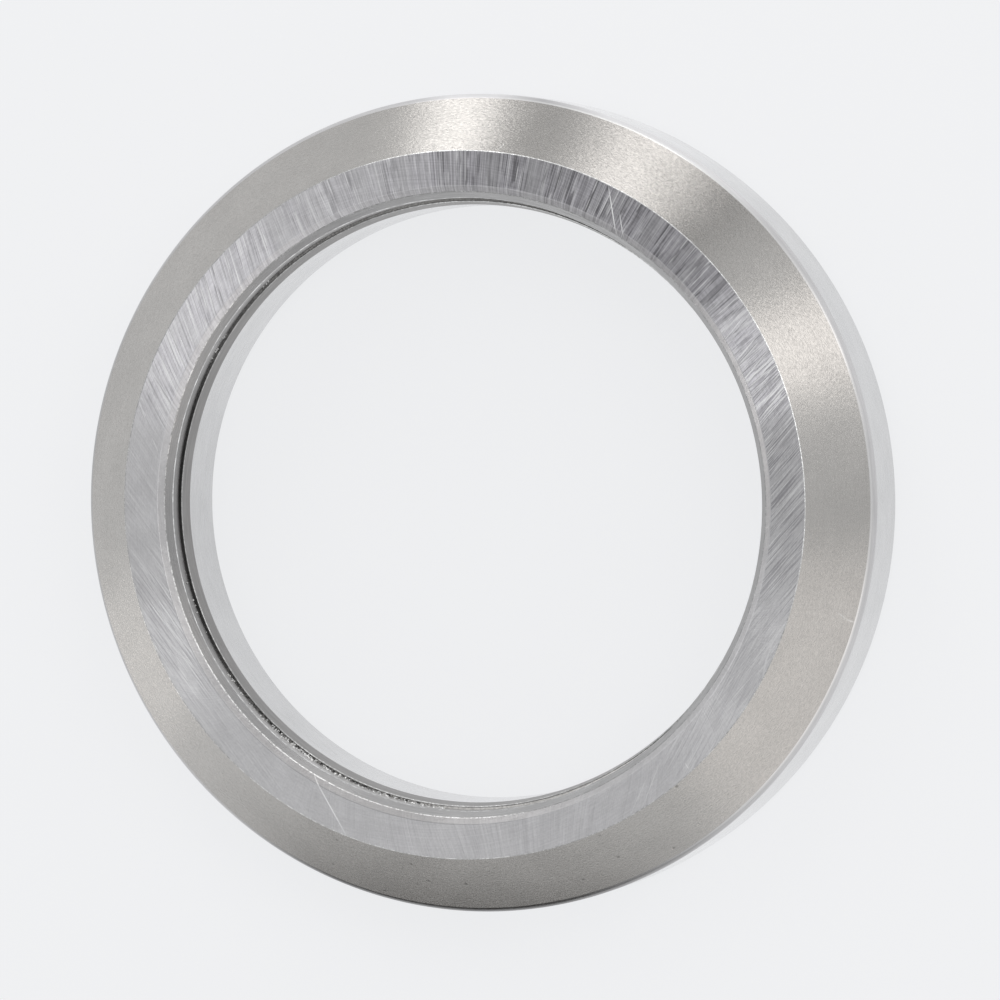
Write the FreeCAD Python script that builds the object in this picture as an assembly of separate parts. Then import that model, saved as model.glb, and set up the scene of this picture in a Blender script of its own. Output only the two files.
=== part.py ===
import FreeCAD, Part
import math
import os

# Headset bearing: two rings with angular-contact races, a crown cage and a row of balls.
# It lies on the inner ring's rear face. Z points up, out of the front face with the wide
# outer cone, and the origin is the centre of the rear face. Millimetres and degrees.

# Envelope
outer_dia = 41.8
bore_dia = 30.5
width = 8.0

# Outer ring, front side
cup_cone_depth = 2.95
cup_cone_round = 0.8
lip_bevel_radial = 0.3
lip_bevel_depth = 0.26
lip_chamfer_radial = 0.31
lip_chamfer_depth = 0.44
lip_ramp = 0.33

# Outer ring, rear side
rear_setback = 0.4
rear_edge_round = 0.25
sleeve_wall = 0.9
sleeve_edge_break = 0.1

# Inner ring, front side
nose_wall = 0.19
nose_tip_land = 0.06
nose_land_length = 0.19
lead_in_length = 0.88

# Inner ring, rear side
race_cone_depth = 1.89
flange_corner = 0.35
flange_edge_round = 0.3

# Balls and races
ball_dia = 3.175
ball_count = 28
contact_angle = 45.0
shoulder_reach = 15.0
snap_reach = 15.0
relief_round = 0.3

# Cage
cage_wall = 1.2
cage_floor = 0.42
finger_rise = 0.75
cage_edge_break = 0.12

# Clearances
labyrinth_gap = 0.12
race_clearance = 0.04
pocket_clearance = 0.07
ball_headroom = 0.41
cage_underside_gap = 0.22

# Values that follow from the sizes above
outer_r = outer_dia / 2
bore_r = bore_dia / 2
ball_r = ball_dia / 2
pitch_r = (outer_r + bore_r) / 2
pitch_z = width / 2
groove_r = ball_r + race_clearance
pocket_r = ball_r + pocket_clearance
cage_bottom_z = pitch_z - pocket_r - cage_floor
ceiling_z = pitch_z + ball_r + ball_headroom
lip_end_z = ceiling_z + lip_ramp
nose_foot_z = lip_end_z - labyrinth_gap
nose_z = nose_foot_z + nose_land_length
nose_r = bore_r + nose_wall
lip_r = nose_r + labyrinth_gap
flange_top_z = cage_bottom_z - cage_underside_gap
flange_edge_z = flange_top_z - flange_corner
sleeve_top_z = flange_edge_z + labyrinth_gap
sleeve_r = outer_r - sleeve_wall
flange_r = sleeve_r - labyrinth_gap
shoulder_angle = contact_angle + shoulder_reach
full_turn = 360.0
match_tolerance = 1e-6


def point(radius, height):
    """A point of a ring's section, which lies in the XZ plane."""
    return FreeCAD.Vector(radius, 0, height)


def groove_point(angle):
    """The point of the race's arc at an angle, counted from outward towards the front."""
    turn = math.radians(angle)
    return point(pitch_r + groove_r * math.cos(turn), pitch_z + groove_r * math.sin(turn))


def groove_arc(start, end):
    """The arc of a race between two angles, centred on the ball."""
    middle = groove_point((start + end) / 2)
    return Part.Arc(groove_point(start), middle, groove_point(end)).toShape()


def path(points):
    """Straight edges from each point to the next."""
    return [Part.LineSegment(a, b).toShape() for a, b in zip(points, points[1:])]


def revolve(edges):
    """Turns a closed section around the Z axis into one solid."""
    face = Part.Face(Part.Wire(edges))
    return face.revolve(FreeCAD.Vector(0, 0, 0), FreeCAD.Vector(0, 0, 1), full_turn)


def circles_at(solid, corner):
    """The circular edges of a turned solid that pass through one corner of its section."""
    found = []
    for edge in solid.Edges:
        if not isinstance(edge.Curve, Part.Circle):
            continue
        same_radius = abs(edge.Curve.Radius - corner.x) < match_tolerance
        same_height = abs(edge.Curve.Center.z - corner.z) < match_tolerance
        if same_radius and same_height:
            found.append(edge)
    return found


def make_outer_ring():
    """The ring with the outer cone for the cup, the front lip and the thin rear sleeve."""
    snap_start = groove_point(-snap_reach)
    shoulder_end = groove_point(shoulder_angle)
    relief_corner = point(shoulder_end.x, ceiling_z)
    chamfer_top = point(lip_r + lip_chamfer_radial, width - lip_bevel_depth)
    cone_foot = point(outer_r, width - cup_cone_depth)
    rear_corner = point(outer_r, rear_setback)
    sleeve_mouth = point(sleeve_r, rear_setback)
    section = [
        shoulder_end,
        relief_corner,
        point(lip_r + lip_ramp, ceiling_z),
        point(lip_r, lip_end_z),
        point(lip_r, chamfer_top.z - lip_chamfer_depth),
        chamfer_top,
        point(chamfer_top.x + lip_bevel_radial, width),
        point(outer_r - cup_cone_depth, width),
        cone_foot,
        rear_corner,
        sleeve_mouth,
        point(sleeve_r, sleeve_top_z),
        point(snap_start.x, sleeve_top_z + sleeve_r - snap_start.x),
        snap_start,
    ]
    ring = revolve(path(section) + [groove_arc(-snap_reach, shoulder_angle)])
    ring = ring.makeFillet(cup_cone_round, circles_at(ring, cone_foot))
    ring = ring.makeFillet(rear_edge_round, circles_at(ring, rear_corner))
    ring = ring.makeFillet(relief_round, circles_at(ring, relief_corner))
    return ring.makeChamfer(sleeve_edge_break, circles_at(ring, sleeve_mouth))


def make_inner_ring():
    """The ring with the bore, the inner cone for the race, the rear flange and the front nose."""
    half_turn = full_turn / 2
    shoulder_end = groove_point(half_turn + shoulder_angle)
    snap_start = groove_point(half_turn - snap_reach)
    flange_edge = point(flange_r, 0)
    relief_corner = point(shoulder_end.x, flange_top_z)
    section = [
        snap_start,
        point(snap_start.x, nose_foot_z - (snap_start.x - nose_r)),
        point(nose_r, nose_foot_z),
        point(nose_r, nose_z),
        point(nose_r - nose_tip_land, nose_z),
        point(bore_r, nose_z - lead_in_length),
        point(bore_r, race_cone_depth),
        point(bore_r + race_cone_depth, 0),
        flange_edge,
        point(flange_r, flange_edge_z),
        point(flange_r - flange_corner, flange_top_z),
        relief_corner,
        shoulder_end,
    ]
    ring = revolve(path(section) + [groove_arc(half_turn - snap_reach, half_turn + shoulder_angle)])
    ring = ring.makeFillet(flange_edge_round, circles_at(ring, flange_edge))
    return ring.makeFillet(relief_round, circles_at(ring, relief_corner))


def ball_centre(index):
    """The centre of one ball on the pitch circle."""
    turn = math.radians(full_turn * index / ball_count)
    return FreeCAD.Vector(pitch_r * math.cos(turn), pitch_r * math.sin(turn), pitch_z)


def rolling_axis(index):
    """The unit vector that a ball rolls about, square to the line through its two contacts."""
    turn = math.radians(full_turn * index / ball_count)
    lean = math.radians(contact_angle)
    inward = -math.sin(lean)
    return FreeCAD.Vector(inward * math.cos(turn), inward * math.sin(turn), math.cos(lean))


def make_ball(index):
    """One ball, with its poles on the axis that it rolls about."""
    return Part.makeSphere(ball_r, ball_centre(index), rolling_axis(index))


def make_cage():
    """The crown cage: a floor ring under the balls with fingers that reach past their middle."""
    height = pitch_z + finger_rise - cage_bottom_z
    base = point(0, cage_bottom_z)
    outside = Part.makeCylinder(pitch_r + cage_wall / 2, height, base)
    inside = Part.makeCylinder(pitch_r - cage_wall / 2, height, base)
    ring = outside.cut(inside)
    rims = [point(pitch_r + side * cage_wall / 2, cage_bottom_z) for side in (-1, 1)]
    ring = ring.makeChamfer(cage_edge_break, [edge for rim in rims for edge in circles_at(ring, rim)])
    pockets = [Part.makeSphere(pocket_r, ball_centre(index)) for index in range(ball_count)]
    return ring.cut(pockets)


def write(name, shape):
    """Writes one node's STEP file after a check that it is one sound solid."""
    if len(shape.Solids) != 1 or not shape.isValid():
        raise ValueError(name + " isn't one sound solid")
    shape.Solids[0].exportStep(os.path.join("parts", name + ".step"))
    print(name, round(shape.Volume, 2), "cubic mm")


def main():
    """Builds every node of the bearing."""
    os.makedirs("parts", exist_ok=True)
    write("outer_ring", make_outer_ring())
    write("inner_ring", make_inner_ring())
    write("cage", make_cage())
    for index in range(ball_count):
        write("ball_%02d" % (index + 1), make_ball(index))


main()
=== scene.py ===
import logging
import math
import random
from dataclasses import dataclass, field
from enum import Enum

import bpy
from mathutils import Matrix, Vector


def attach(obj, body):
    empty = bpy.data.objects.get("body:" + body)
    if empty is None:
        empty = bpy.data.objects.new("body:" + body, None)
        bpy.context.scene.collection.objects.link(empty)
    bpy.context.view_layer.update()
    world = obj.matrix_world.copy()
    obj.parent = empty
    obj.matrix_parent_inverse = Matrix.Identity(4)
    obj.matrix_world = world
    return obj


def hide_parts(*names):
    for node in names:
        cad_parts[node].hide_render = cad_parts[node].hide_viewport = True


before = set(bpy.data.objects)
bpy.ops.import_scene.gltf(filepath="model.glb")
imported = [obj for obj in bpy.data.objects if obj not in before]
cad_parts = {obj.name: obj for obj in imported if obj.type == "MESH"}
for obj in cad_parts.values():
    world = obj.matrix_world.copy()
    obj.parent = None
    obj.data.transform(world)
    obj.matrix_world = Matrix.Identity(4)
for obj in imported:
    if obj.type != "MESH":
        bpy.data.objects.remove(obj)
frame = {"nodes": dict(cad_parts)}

MM = 0.001
# Whitish colour of bright scratches: rubbed steel, and partly a painted glint.
RUBBED_STEEL_AND_GLINT = (0.95, 0.95, 0.94)
LOG = logging.getLogger("headset_bearing")
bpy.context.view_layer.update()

Colour = tuple[float, float, float]
Stops = tuple[tuple[float, float], ...]


class Wall(Enum):
    """The finish of each stretch of a ring's section."""

    FRONT_FLAT = 0
    CONE = 1
    CYLINDER = 2
    LIP = 3
    EDGE = 4
    RACE = 5
    REAR = 6
    ROUNDING = 7
    BEVEL = 8
    LEAD_IN = 9
    BORE = 10
    CHAMFER = 11
    LIP_EDGE = 12
    BEVEL_EDGE = 13
    DUST_AND_SHADE = 14


class Graph:
    """A node tree under construction, with short calls for the nodes that the finishes share."""

    def __init__(self, tree: bpy.types.NodeTree) -> None:
        """Keeps the tree that the calls add to.

        Args:
            tree: the shader, world or geometry tree.
        """
        self.tree = tree

    def feed(self, socket: bpy.types.NodeSocket, value: object) -> None:
        """Links a socket to another, or sets its value.

        Args:
            socket: the input to fill.
            value: an output socket, a plain value, or None to leave the input alone.
        """
        if isinstance(value, bpy.types.NodeSocket):
            self.tree.links.new(value, socket)
        elif value is not None:
            socket.default_value = value

    def node(self, kind: str, values: object = (), **settings: object) -> bpy.types.Node:
        """Adds a node.

        Args:
            kind: the node's type name.
            values: a dict by input name or number, or a row of values for the first inputs.
            settings: the node's own properties.

        Returns:
            The new node.
        """
        made = self.tree.nodes.new(kind)
        for name, setting in settings.items():
            setattr(made, name, setting)
        pairs = values.items() if isinstance(values, dict) else enumerate(values)
        for key, value in pairs:
            self.feed(made.inputs[key], value)
        return made

    def math(self, operation: str, *values: object, clamp: bool = False) -> bpy.types.NodeSocket:
        """Adds a Math node.

        Args:
            operation: its operation.
            values: its inputs in order.
            clamp: whether the result is held to 0..1.

        Returns:
            The node's output.
        """
        return self.node("ShaderNodeMath", values, operation=operation, use_clamp=clamp).outputs[0]

    def vector(self, operation: str, *values: object) -> bpy.types.NodeSocket:
        """Adds a Vector Math node.

        Args:
            operation: its operation.
            values: its inputs in order.

        Returns:
            The vector or the number that the operation gives.
        """
        made = self.node("ShaderNodeVectorMath", values, operation=operation)
        return made.outputs["Value" if operation in ("LENGTH", "DISTANCE", "DOT_PRODUCT") else "Vector"]

    def scaled(self, vector: object, factor: object) -> bpy.types.NodeSocket:
        """Returns a vector times a number."""
        return self.node("ShaderNodeVectorMath", {0: vector, 3: factor}, operation="SCALE").outputs["Vector"]

    def noise(self, place: object, scale: float, detail: float = 2.0,
              rough: float = 0.5) -> bpy.types.NodeSocket:
        """Adds a Noise Texture.

        Args:
            place: the vector that it reads.
            scale: features per unit.
            detail: octaves.
            rough: how strong the finer octaves are.

        Returns:
            The noise's value, about 0.5 on average.
        """
        values = {"Vector": place, "Scale": scale, "Detail": detail, "Roughness": rough}
        return self.node("ShaderNodeTexNoise", values).outputs[0]

    def between(self, value: object, low: float, high: float, first: object = 0.0,
                last: object = 1.0) -> bpy.types.NodeSocket:
        """Maps a number smoothly from low..high to first..last, held at both ends.

        Args:
            value: the number.
            low: where the change starts.
            high: where it ends.
            first: the result up to low.
            last: the result from high on.

        Returns:
            The mapped number.
        """
        values = (value, low, high, first, last)
        return self.node("ShaderNodeMapRange", values, interpolation_type="SMOOTHSTEP").outputs[0]

    def blend(self, share: object, first: object, second: object, kind: str = "MIX") -> bpy.types.NodeSocket:
        """Mixes two colours.

        Args:
            share: how much of the second.
            first: the first colour.
            second: the second colour.
            kind: the way of mixing.

        Returns:
            The mixed colour.
        """
        values = {0: share, 6: opaque(first), 7: opaque(second)}
        return self.node("ShaderNodeMix", values, data_type="RGBA", blend_type=kind).outputs[2]

    def round_ring(self, bearing: object, stops: Stops) -> bpy.types.NodeSocket:
        """Gives a number that changes round the ring.

        Args:
            bearing: the angle round the axis as a share of a turn.
            stops: pairs of degrees and value, from 0 to 1.

        Returns:
            The value at that bearing.
        """
        made = self.node("ShaderNodeValToRGB", (bearing,))
        ramp = made.color_ramp
        while len(ramp.elements) < len(stops):
            ramp.elements.new(0.5)
        for element, (degrees, value) in zip(ramp.elements, sorted(stops)):
            element.position = degrees / 360
            element.color = (value, value, value, value)
        return made.outputs["Alpha"]

    def bump(self, height: object, depth_mm: float) -> bpy.types.NodeSocket:
        """Adds a Bump node.

        Args:
            height: the relief, 0 to 1.
            depth_mm: how deep the whole relief is.

        Returns:
            The bent normal.
        """
        values = {"Strength": 1.0, "Distance": depth_mm * MM, "Height": height}
        return self.node("ShaderNodeBump", values).outputs["Normal"]


def opaque(colour: object) -> object:
    """Returns a plain colour with full alpha, and anything else as it is."""
    return (*colour, 1.0) if isinstance(colour, tuple) and len(colour) == 3 else colour


@dataclass
class Place:
    """Where a shaded point is on the turned part, as sockets in metres and shares of a turn."""

    point: bpy.types.NodeSocket
    level: bpy.types.NodeSocket
    radius: bpy.types.NodeSocket
    height: bpy.types.NodeSocket
    bearing: bpy.types.NodeSocket

    @classmethod
    def of(cls, graph: Graph) -> "Place":
        """Adds the nodes that work the place out from Object coordinates.

        Args:
            graph: the material's graph.

        Returns:
            The place.
        """
        point = graph.node("ShaderNodeTexCoord").outputs["Object"]
        parts = graph.node("ShaderNodeSeparateXYZ", (point,)).outputs
        level = graph.node("ShaderNodeCombineXYZ", (parts[0], parts[1], 0.0)).outputs[0]
        angle = graph.math("ARCTAN2", parts[1], parts[0])
        bearing = graph.math("FRACT", graph.math("ADD", graph.math("DIVIDE", angle, math.tau), 1.0))
        return cls(point, level, graph.vector("LENGTH", level), parts[2], bearing)


@dataclass(frozen=True)
class Finish:
    """A procedural finish: its name, colour, shader values and painted light and shade round the ring."""

    name: str
    colour: Colour
    roughness: float = 0.3
    metallic: float = 1.0
    anisotropy: float = 0.0
    turn: float = 0.0
    # Painted light and shade: stops by bearing that darken and lighten the colour where the wall reflects
    # dark or bright.
    painted_light_and_shade: Stops = ()

    def material(self) -> bpy.types.Material:
        """Builds the material once, and finds it again after that.

        Returns:
            The material.
        """
        known = bpy.data.materials.get(self.name)
        if known is not None:
            return known
        made = bpy.data.materials.new(self.name)
        made.use_nodes = True
        made.diffuse_color = (*self.colour, 1.0)
        graph = Graph(made.node_tree)
        shader = made.node_tree.nodes["Principled BSDF"]
        shader.inputs["Base Color"].default_value = (*self.colour, 1.0)
        shader.inputs["Metallic"].default_value = self.metallic
        shader.inputs["Roughness"].default_value = self.roughness
        shader.inputs["Anisotropic"].default_value = self.anisotropy
        shader.inputs["Anisotropic Rotation"].default_value = self.turn
        if self.anisotropy:
            along = graph.node("ShaderNodeTangent", direction_type="UV_MAP", uv_map="UVMap")
            graph.feed(shader.inputs["Tangent"], along.outputs[0])
        self.pattern(graph, Place.of(graph), shader.inputs)
        return made

    def pattern(self, graph: Graph, place: Place, shader: bpy.types.NodeInputs) -> None:
        """Adds the finish's own pattern.

        Args:
            graph: the material's graph.
            place: where the shaded point is.
            shader: the inputs of the Principled shader.
        """
        raise NotImplementedError

    def shaded(self, graph: Graph, place: Place, shade: object) -> bpy.types.NodeSocket:
        """Adds the finish's colour under a shade and under its painted light and shade round the ring.

        Args:
            graph: the material's graph.
            place: where the shaded point is.
            shade: a number about 1.

        Returns:
            The colour.
        """
        # Painted light and shade: the colour is darkened and lightened by bearing to hold the wall's
        # reflections.
        if self.painted_light_and_shade:
            shade = graph.math("MULTIPLY", shade, graph.round_ring(place.bearing, self.painted_light_and_shade))
        grey = graph.node("ShaderNodeCombineColor", (shade, shade, shade)).outputs[0]
        return graph.blend(1.0, self.colour, grey, "MULTIPLY")


@dataclass(frozen=True)
class Scratch:
    """One straight scratch in the plane of the front face, in millimetres."""

    start: tuple[float, float]
    end: tuple[float, float]
    width: float = 0.05
    strength: float = 1.0

    def mask(self, graph: Graph, place: Place) -> bpy.types.NodeSocket:
        """Adds the nodes that draw the scratch.

        Args:
            graph: the material's graph.
            place: where the shaded point is.

        Returns:
            A number from 0 beside the scratch to its strength in the middle.
        """
        first = Vector((*self.start, 0)) * MM
        along = Vector((*self.end, 0)) * MM - first
        offset = graph.vector("SUBTRACT", place.level, first)
        reached = graph.vector("DOT_PRODUCT", offset, along)
        share = graph.math("DIVIDE", reached, along.length_squared, clamp=True)
        nearest = graph.scaled(along, share)
        gap = graph.vector("DISTANCE", offset, nearest)
        taper = graph.math("SINE", graph.math("ADD", graph.math("MULTIPLY", share, 2.6), 0.27))
        core = graph.between(gap, self.width * 0.2 * MM, self.width * 0.62 * MM, 1.0, 0.0)
        return graph.math("MULTIPLY", core, graph.math("MULTIPLY", taper, self.strength))


@dataclass(frozen=True)
class Swirl:
    """A bundle of curved rubbing marks round one centre, in millimetres and degrees round the ring."""

    centre: tuple[float, float]
    radius: float
    spread: float
    sector: tuple[float, float]
    strength: float = 1.0

    def mask(self, graph: Graph, place: Place) -> bpy.types.NodeSocket:
        """Adds the nodes that draw the bundle.

        Args:
            graph: the material's graph.
            place: where the shaded point is.

        Returns:
            A number from 0 off the marks to the bundle's strength on them.
        """
        middle = Vector((*self.centre, 0)) * MM
        reach = graph.vector("DISTANCE", place.level, middle)
        across = graph.math("MULTIPLY", graph.math("SUBTRACT", reach, self.radius * MM), 7.5 / MM)
        place_across = graph.node("ShaderNodeCombineXYZ", (across, 0.0, 0.0)).outputs[0]
        lines = graph.between(graph.noise(place_across, 1.0, 1.0), 0.52, 0.62)
        off = graph.math("ABSOLUTE", graph.math("SUBTRACT", reach, self.radius * MM))
        window = graph.between(off, self.spread * 0.4 * MM, self.spread * MM, 1.0, 0.0)
        low, high = (degrees / 360 for degrees in self.sector)
        opened = graph.between(place.bearing, low, low + 0.012)
        closed = graph.between(place.bearing, high - 0.012, high, 1.0, 0.0)
        sector = graph.math("MULTIPLY", opened, closed)
        drawn = graph.math("MULTIPLY", graph.math("MULTIPLY", lines, window), sector)
        return graph.math("MULTIPLY", drawn, self.strength)


@dataclass(frozen=True)
class Hatch:
    """Straight parallel grinding marks: their direction in degrees, and how dark and bright they are."""

    direction: float
    dark: Stops
    bright: Stops
    pitch: float
    run: float

    def drawn(self, graph: Graph, place: Place, limits: tuple[float, float], strength: Stops,
              layer: float) -> bpy.types.NodeSocket:
        """Adds one layer of marks.

        Args:
            graph: the material's graph.
            place: where the shaded point is.
            limits: the noise values where a mark starts and is full.
            strength: how strong the marks are by bearing.
            layer: a number that sets this layer's marks apart from the others.

        Returns:
            A number from 0 beside a mark to its strength on it.
        """
        turn = math.radians(self.direction)
        side = graph.vector("DOT_PRODUCT", place.level, (-math.sin(turn), math.cos(turn), 0.0))
        ahead = graph.vector("DOT_PRODUCT", place.level, (math.cos(turn), math.sin(turn), 0.0))
        across = graph.math("DIVIDE", side, self.pitch * MM)
        along = graph.math("DIVIDE", ahead, self.run * MM)
        spot = graph.node("ShaderNodeCombineXYZ", (across, along, layer)).outputs[0]
        mark = graph.between(graph.noise(spot, 1.0, 2.0, 0.6), *limits)
        return graph.math("MULTIPLY", mark, graph.round_ring(place.bearing, strength))

    def sunk(self, graph: Graph, place: Place) -> bpy.types.NodeSocket:
        """Returns the dark marks."""
        return self.drawn(graph, place, (0.5, 0.585), self.dark, 3.0)

    def raised(self, graph: Graph, place: Place) -> bpy.types.NodeSocket:
        """Returns the bright marks: grinding marks whose strength by bearing is partly a painted glint."""
        return self.drawn(graph, place, (0.56, 0.62), self.bright, 11.0)


@dataclass(frozen=True)
class GroundFlat(Finish):
    """The front face, rubbed flat: leaning grinding marks, deeper streaks and single scratches, with the
    bright marks partly painted glints.
    """

    middle_radius: float = 17.05
    fine_lines: float = 300.0
    streak_lines: float = 200.0
    spark_lines: float = 220.0
    line_run: float = 0.9
    relief: float = 0.0015
    lean: Stops = ((0, -44), (12, -42), (20, -22), (34, -5), (60, 0), (112, 0), (122, 9), (130, 22),
                   (142, 34), (158, 42), (172, 48), (210, 48), (228, 10), (245, -20),
                   (268, -24), (284, 12), (300, 45), (314, 40), (328, 10), (345, -40), (360, -44))
    # Dark streak strength by bearing: grinding marks, densest in the sectors whose colour is also darkened as
    # painted shade.
    dark: Stops = ((0, 0.1), (12, 0.25), (19, 0.75), (31, 0.75), (38, 0.95), (52, 1.0), (96, 0.95),
                   (104, 0.6), (124, 0.5), (140, 0.6), (160, 0.6), (168, 0.15), (190, 0.05), (250, 0.08),
                   (262, 0.16), (312, 0.14), (320, 0.05), (345, 0.05), (360, 0.1))
    # Bright marks by bearing: real scratches, strongest where they catch the lamps, so partly painted glints.
    bright: Stops = ((0, 0.1), (12, 0.3), (18, 0.9), (32, 0.85), (37, 0.4), (60, 0.5), (100, 0.35),
                     (117, 0.5), (127, 0.85), (134, 1.0), (160, 1.0), (168, 0.2), (190, 0.05), (252, 0.06),
                     (268, 0.16), (310, 0.14), (320, 0.05), (345, 0.05), (360, 0.1))
    # Painted light and shade: the lit patches and dark sectors of the face's reflection, held in its colour.
    painted_light_and_shade: Stops = ((0, 0.67), (13, 0.69), (18, 1.0), (32, 0.98), (39, 0.56), (52, 0.49), (76, 0.51),
                   (84, 0.52), (96, 0.66), (112, 0.74), (124, 0.81), (134, 0.97), (158, 1.0), (169, 0.785),
                   (194, 0.79), (201, 0.95), (212, 0.93), (219, 0.84), (240, 0.84), (270, 0.77),
                   (310, 0.82), (322, 0.83), (336, 0.8), (349, 0.74), (360, 0.68))
    # A bluish tint laid where the dark streaks and dark sectors are.
    dark_zone_tint: Colour = (0.97, 0.955, 1.0)
    hatches: tuple[Hatch, ...] = (
        Hatch(49.0, ((0, 0.72), (14, 0.76), (20, 0.6), (30, 0.4), (38, 0.1), (46, 0.0), (318, 0.0),
                     (326, 0.18), (338, 0.28), (350, 0.62), (360, 0.72)),
              ((0, 0.35), (14, 0.45), (18, 0.9), (31, 0.8), (40, 0.0), (318, 0.0), (328, 0.3), (345, 0.3),
               (360, 0.35)), 0.06, 3.4),
        Hatch(62.0, ((0, 0.0), (305, 0.0), (314, 0.28), (336, 0.28), (346, 0.0), (360, 0.0)),
              ((0, 0.0), (305, 0.0), (314, 0.26), (336, 0.26), (346, 0.0), (360, 0.0)), 0.065, 3.8),
        Hatch(127.0, ((0, 0.0), (160, 0.0), (172, 0.12), (190, 0.14), (197, 0.45), (212, 0.4), (222, 0.14),
                      (244, 0.08), (256, 0.0), (360, 0.0)),
              ((0, 0.0), (160, 0.0), (172, 0.2), (190, 0.22), (197, 0.7), (211, 0.6), (222, 0.2),
               (240, 0.12), (252, 0.0), (360, 0.0)), 0.068, 3.0))
    scratches: tuple[Scratch, ...] = (
        Scratch((7.78, 16.13), (8.18, 13.66), 0.06, 1.0),
        Scratch((8.36, 14.75), (8.56, 13.5), 0.05, 0.8),
        Scratch((-7.57, 16.10), (-6.78, 14.49), 0.05, 0.55),
        Scratch((-10.79, 14.34), (-10.05, 12.33), 0.07, 0.8),
        Scratch((-11.10, 14.09), (-10.38, 12.04), 0.05, 0.7),
        Scratch((-13.62, 11.59), (-12.98, 9.42), 0.08, 0.8),
        Scratch((-14.58, 10.46), (-13.95, 8.44), 0.07, 0.8),
        Scratch((-14.95, 9.92), (-14.18, 8.06), 0.06, 0.7),
        Scratch((-16.14, 7.78), (-14.99, 5.37), 0.08, 0.9),
        Scratch((-16.55, 6.89), (-15.18, 4.82), 0.06, 0.6),
        Scratch((-17.11, 5.03), (-16.68, 3.95), 0.06, 0.5),
        Scratch((-16.44, 3.28), (-16.13, 2.62), 0.06, 0.45),
        Scratch((-6.03, -16.89), (-7.79, -13.89), 0.065, 0.9),
        Scratch((8.92, -15.55), (9.85, -13.51), 0.05, 0.3),
        Scratch((9.57, -15.11), (10.52, -12.72), 0.05, 0.35),
        Scratch((11.99, -13.15), (11.79, -12.86), 0.06, 0.7))
    swirls: tuple[Swirl, ...] = (
        Swirl((20.6, -8.9), 4.6, 0.7, (326.0, 350.0), 0.3),
        Swirl((-3.2, 4.8), 17.0, 0.7, (195.0, 213.0), 0.4))

    def pattern(self, graph: Graph, place: Place, shader: bpy.types.NodeInputs) -> None:
        """Adds the grinding marks and their tangent.

        Args:
            graph: the material's graph.
            place: where the shaded point is.
            shader: the inputs of the Principled shader.
        """
        stops = tuple((degrees, (value + 90) / 180) for degrees, value in self.lean)
        share = graph.round_ring(place.bearing, stops)
        lean = graph.math("RADIANS", graph.math("MULTIPLY_ADD", share, 180.0, -90.0))
        middle = self.middle_radius * MM
        inward = graph.math("DIVIDE", graph.math("SUBTRACT", middle, place.radius), middle)
        back = graph.math("MULTIPLY", graph.math("TANGENT", lean), inward)
        back = graph.math("MULTIPLY", back, -1.0)
        start = self.turned(graph, place.level, back)
        spoke = graph.vector("NORMALIZE", start)
        run = graph.math("DIVIDE", place.radius, self.line_run * MM)
        length = graph.node("ShaderNodeCombineXYZ", (0.0, 0.0, run))
        waviness = graph.scaled(graph.vector("NORMALIZE", place.level), 5.0)
        waves = graph.noise(waviness, 3.0, 2.0)

        def lines(frequency: float, low: float, high: float) -> bpy.types.NodeSocket:
            """Returns straight lines along the spokes, this many to the radian."""
            across = graph.scaled(spoke, frequency)
            along = graph.scaled(length.outputs[0], 0.08)
            return graph.between(graph.noise(graph.vector("ADD", across, along), 1.0, 2.0, 0.6), low, high)

        def ends(frequency: float, changes: float) -> bpy.types.NodeSocket:
            """Returns where such lines start and stop, with this many changes to a line's run."""
            across = graph.scaled(spoke, frequency)
            along = graph.scaled(length.outputs[0], changes)
            return graph.between(graph.noise(graph.vector("ADD", across, along), 1.0, 1.0), 0.4, 0.56)

        fine = lines(self.fine_lines, 0.38, 0.62)
        streaks = graph.math("MULTIPLY", lines(self.streak_lines, 0.48, 0.57), ends(60.0, 0.9))
        sparks = graph.math("MULTIPLY", lines(self.spark_lines, 0.55, 0.6), ends(75.0, 0.8))
        rubs = graph.node("ShaderNodeCombineXYZ", (graph.math("DIVIDE", place.radius, 0.07 * MM), 0.0, 0.0))
        rubs = graph.vector("ADD", rubs.outputs[0], graph.scaled(waviness, 4.8))
        rubs = graph.noise(rubs, 1.0, 2.0, 0.6)
        smear = graph.noise(place.level, 700.0, 3.0, 0.6)
        patches = graph.between(waves, 0.35, 0.6, 0.55, 1.0)
        dark = graph.math("MULTIPLY", graph.round_ring(place.bearing, self.dark), patches)
        bright = graph.math("MULTIPLY", graph.round_ring(place.bearing, self.bright), patches)
        sunk = graph.math("MULTIPLY", streaks, dark)
        marks = graph.math("MULTIPLY", sparks, bright)
        for hatch in self.hatches:
            sunk = graph.math("MAXIMUM", sunk, hatch.sunk(graph, place))
            marks = graph.math("MAXIMUM", marks, hatch.raised(graph, place))
        for mark in (*self.scratches, *self.swirls):
            marks = graph.math("MAXIMUM", marks, mark.mask(graph, place))
        fleck = graph.noise(place.point, 9000.0, 2.0)
        uneven = graph.math("MULTIPLY", graph.math("SUBTRACT", fine, 0.5), dark)
        dim = graph.math("MULTIPLY_ADD", uneven, -0.5, 1.0)
        dim = graph.math("MULTIPLY", dim, graph.math("MULTIPLY_ADD", sunk, -0.5, 1.0))
        strength = graph.math("MULTIPLY_ADD", dark, 0.07, 0.035)
        crossed = graph.math("MULTIPLY_ADD", graph.between(rubs, 0.32, 0.68, -1.0, 1.0), strength, 1.0)
        dim = graph.math("MULTIPLY", dim, crossed)
        dim = graph.math("MULTIPLY", dim, graph.between(smear, 0.3, 0.7, 0.96, 1.04))
        dim = graph.math("MULTIPLY", dim, graph.between(fleck, 0.2, 0.8, 0.95, 1.05))
        base = self.shaded(graph, place, dim)
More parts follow.
